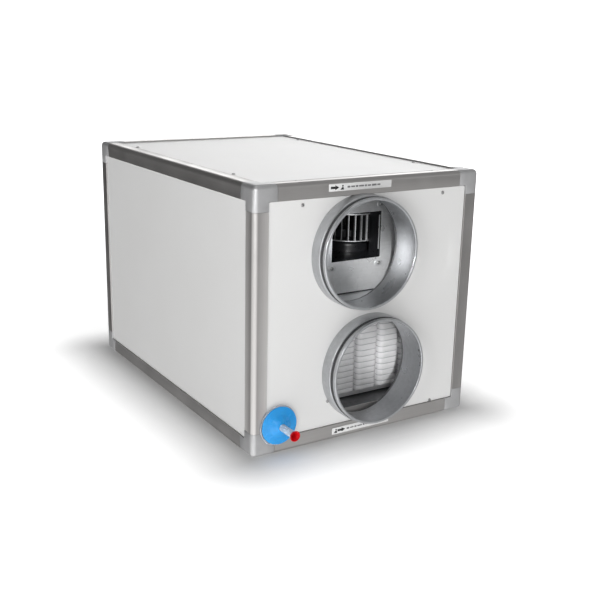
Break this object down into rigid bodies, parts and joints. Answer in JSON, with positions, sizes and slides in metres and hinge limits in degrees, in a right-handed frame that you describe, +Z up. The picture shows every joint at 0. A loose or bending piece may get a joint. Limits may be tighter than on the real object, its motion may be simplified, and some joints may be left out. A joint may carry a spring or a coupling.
{
  "type": "heat recovery unit",
  "caption": "Cabinet heat recovery unit with an aluminium profile frame, white sandwich panels, round duct spigots on both ends, fans, bag filters, a crossflow exchanger and a drain.",
  "frame": {"origin": "centre of the cabinet's underside", "axes": "+Z up; +Y to the rear, from the end with the drain to the other end, along the cabinet's length; +X to the right of somebody who faces the end with the drain"},
  "size_m": [0.59, 0.96, 0.587],
  "materials": {
    "aluminium_profile": "satin mill-finish extrusion",
    "corner_piece": "matt cast, light grey",
    "white_panel": "smooth semi-gloss white coil coating",
    "galvanised_steel": "galvanised sheet",
    "rubber_seal": "matt",
    "black_plastic": "satin moulded",
    "fan_blades": "dark galvanised",
    "exchanger_plates": "bright thin plates",
    "filter_cloth": "white non-woven",
    "grey_plastic": "matt moulded",
    "clear_tube": "milky tube",
    "blue_plastic": "satin moulded blue",
    "red_plastic": "satin moulded red"
  },
  "bodies": {
    "cabinet": {"rail_bottom_front": "aluminium_profile", "rail_bottom_back": "aluminium_profile", "rail_bottom_left": "aluminium_profile", "rail_bottom_right": "aluminium_profile", "rail_top_front": "aluminium_profile", "rail_top_back": "aluminium_profile", "rail_top_left": "aluminium_profile", "rail_top_right": "aluminium_profile", "post_front_left": "aluminium_profile", "corner_bottom_front_left": "corner_piece", "corner_top_front_left": "corner_piece", "post_front_right": "aluminium_profile", "corner_bottom_front_right": "corner_piece", "corner_top_front_right": "corner_piece", "post_back_left": "aluminium_profile", "corner_bottom_back_left": "corner_piece", "corner_top_back_left": "corner_piece", "post_back_right": "aluminium_profile", "corner_bottom_back_right": "corner_piece", "corner_top_back_right": "corner_piece", "panel_left": "white_panel", "panel_right": "white_panel", "panel_bottom": "white_panel", "panel_front": "white_panel", "panel_back": "white_panel", "spigot_front_upper": "galvanised_steel", "seal_front_upper": "rubber_seal", "spigot_front_lower": "galvanised_steel", "seal_front_lower": "rubber_seal", "fan_front_casing": "black_plastic", "fan_front_motor": "black_plastic", "fan_plate_front": "galvanised_steel", "shelf_front": "galvanised_steel", "filter_closure_front": "galvanised_steel", "filter_front_frame": "galvanised_steel", "filter_front_pockets": "filter_cloth", "spigot_back_upper": "galvanised_steel", "seal_back_upper": "rubber_seal", "spigot_back_lower": "galvanised_steel", "seal_back_lower": "rubber_seal", "fan_back_casing": "black_plastic", "fan_back_motor": "black_plastic", "fan_plate_back": "galvanised_steel", "shelf_back": "galvanised_steel", "filter_closure_back": "galvanised_steel", "filter_back_frame": "galvanised_steel", "filter_back_pockets": "filter_cloth", "exchanger_core": "exchanger_plates", "exchanger_end_left": "galvanised_steel", "exchanger_end_right": "galvanised_steel", "partition_lower": "galvanised_steel", "partition_upper": "galvanised_steel", "condensate_tray": "grey_plastic", "drain_pipe": "clear_tube", "drain_rosette": "blue_plastic", "cable_gland": "grey_plastic"},
    "top_cover": {"panel_top": "white_panel"},
    "front_impeller": {"fan_front_impeller": "fan_blades"},
    "back_impeller": {"fan_back_impeller": "fan_blades"},
    "drain_cap": {"drain_cap": "red_plastic"}
  },
  "joints": [
    {"name": "front_fan_spin", "type": "hinge", "parent": "cabinet", "child": "front_impeller", "pos_m": [0.1, -0.188, 0.44], "axis": [0, 0, 1], "continuous": true},
    {"name": "back_fan_spin", "type": "hinge", "parent": "cabinet", "child": "back_impeller", "pos_m": [-0.1, 0.188, 0.44], "axis": [0, 0, 1], "continuous": true},
    {"name": "top_cover_lift", "type": "slide", "parent": "cabinet", "child": "top_cover", "axis": [0, 0, 1], "range_m": [0, 0.3]},
    {"name": "drain_cap_pull", "type": "slide", "parent": "cabinet", "child": "drain_cap", "axis": [0, -1, 0], "range_m": [0, 0.04]}
  ]
}
